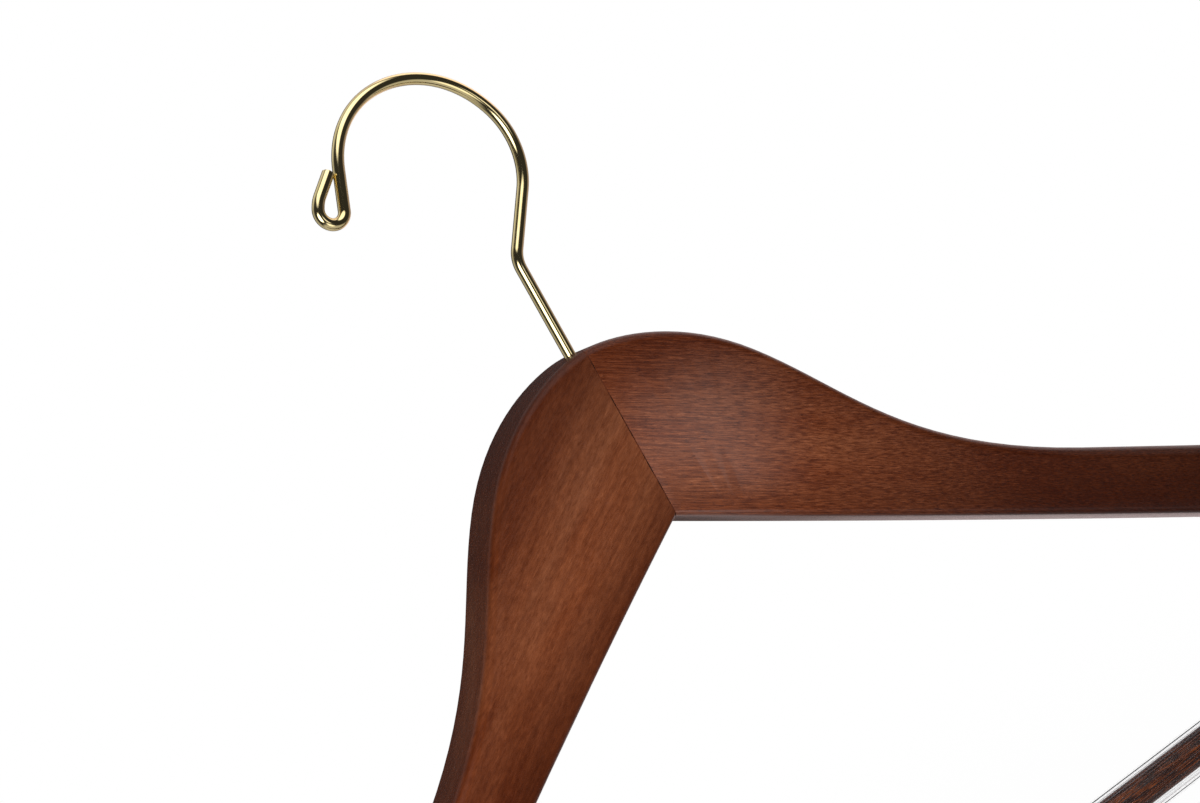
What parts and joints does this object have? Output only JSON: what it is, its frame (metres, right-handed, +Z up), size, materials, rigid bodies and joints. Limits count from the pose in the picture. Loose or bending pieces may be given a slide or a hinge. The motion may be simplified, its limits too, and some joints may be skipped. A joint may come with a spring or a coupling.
{
  "type": "suit hanger",
  "caption": "Curved wooden suit hanger with mitred shoulder arms, a swivelling bent wire hook and a round trouser bar in a clear ribbed sleeve.",
  "frame": {"origin": "inside top of the hook, on the wire's lower side, where a rail bears", "axes": "+Z up, X along the hanger between the shoulder tips, -Y forward, the way the shoulders bow and the wearer faces"},
  "size_m": [0.457, 0.0741, 0.2644],
  "materials": {
    "hook_wire": "polished pale brass plate on drawn steel wire",
    "bright_steel": "bright drawn steel",
    "stained_wood_left": "red-brown walnut stain under semi-gloss lacquer, grain along the arm",
    "stained_wood_right": "red-brown walnut stain under semi-gloss lacquer, grain along the arm",
    "bare_beech": "bare beech, glued",
    "dark_bar_wood": "dark walnut stain, lengthwise orange-brown streaks",
    "clear_vinyl": "clear glossy vinyl with lengthwise ribs"
  },
  "bodies": {
    "hook": {"hook": "hook_wire", "hook_washer": "bright_steel"},
    "hanger": {"left_arm": "stained_wood_left", "right_arm": "stained_wood_right", "seam_dowel_lower": "bare_beech", "seam_dowel_upper": "bare_beech", "trouser_bar": "dark_bar_wood", "bar_brad_left": "bright_steel", "bar_brad_right": "bright_steel"},
    "sleeve": {"bar_sleeve": "clear_vinyl"}
  },
  "joints": [
    {"name": "hook_swivel", "type": "hinge", "parent": "hook", "child": "hanger", "pos_m": [0.0103, 0.00219, -0.0915], "axis": [0, 0, 1], "continuous": true},
    {"name": "sleeve_turn", "type": "hinge", "parent": "hanger", "child": "sleeve", "pos_m": [0.0103, -0.04177, -0.24851], "axis": [1, 0, 0], "continuous": true}
  ]
}
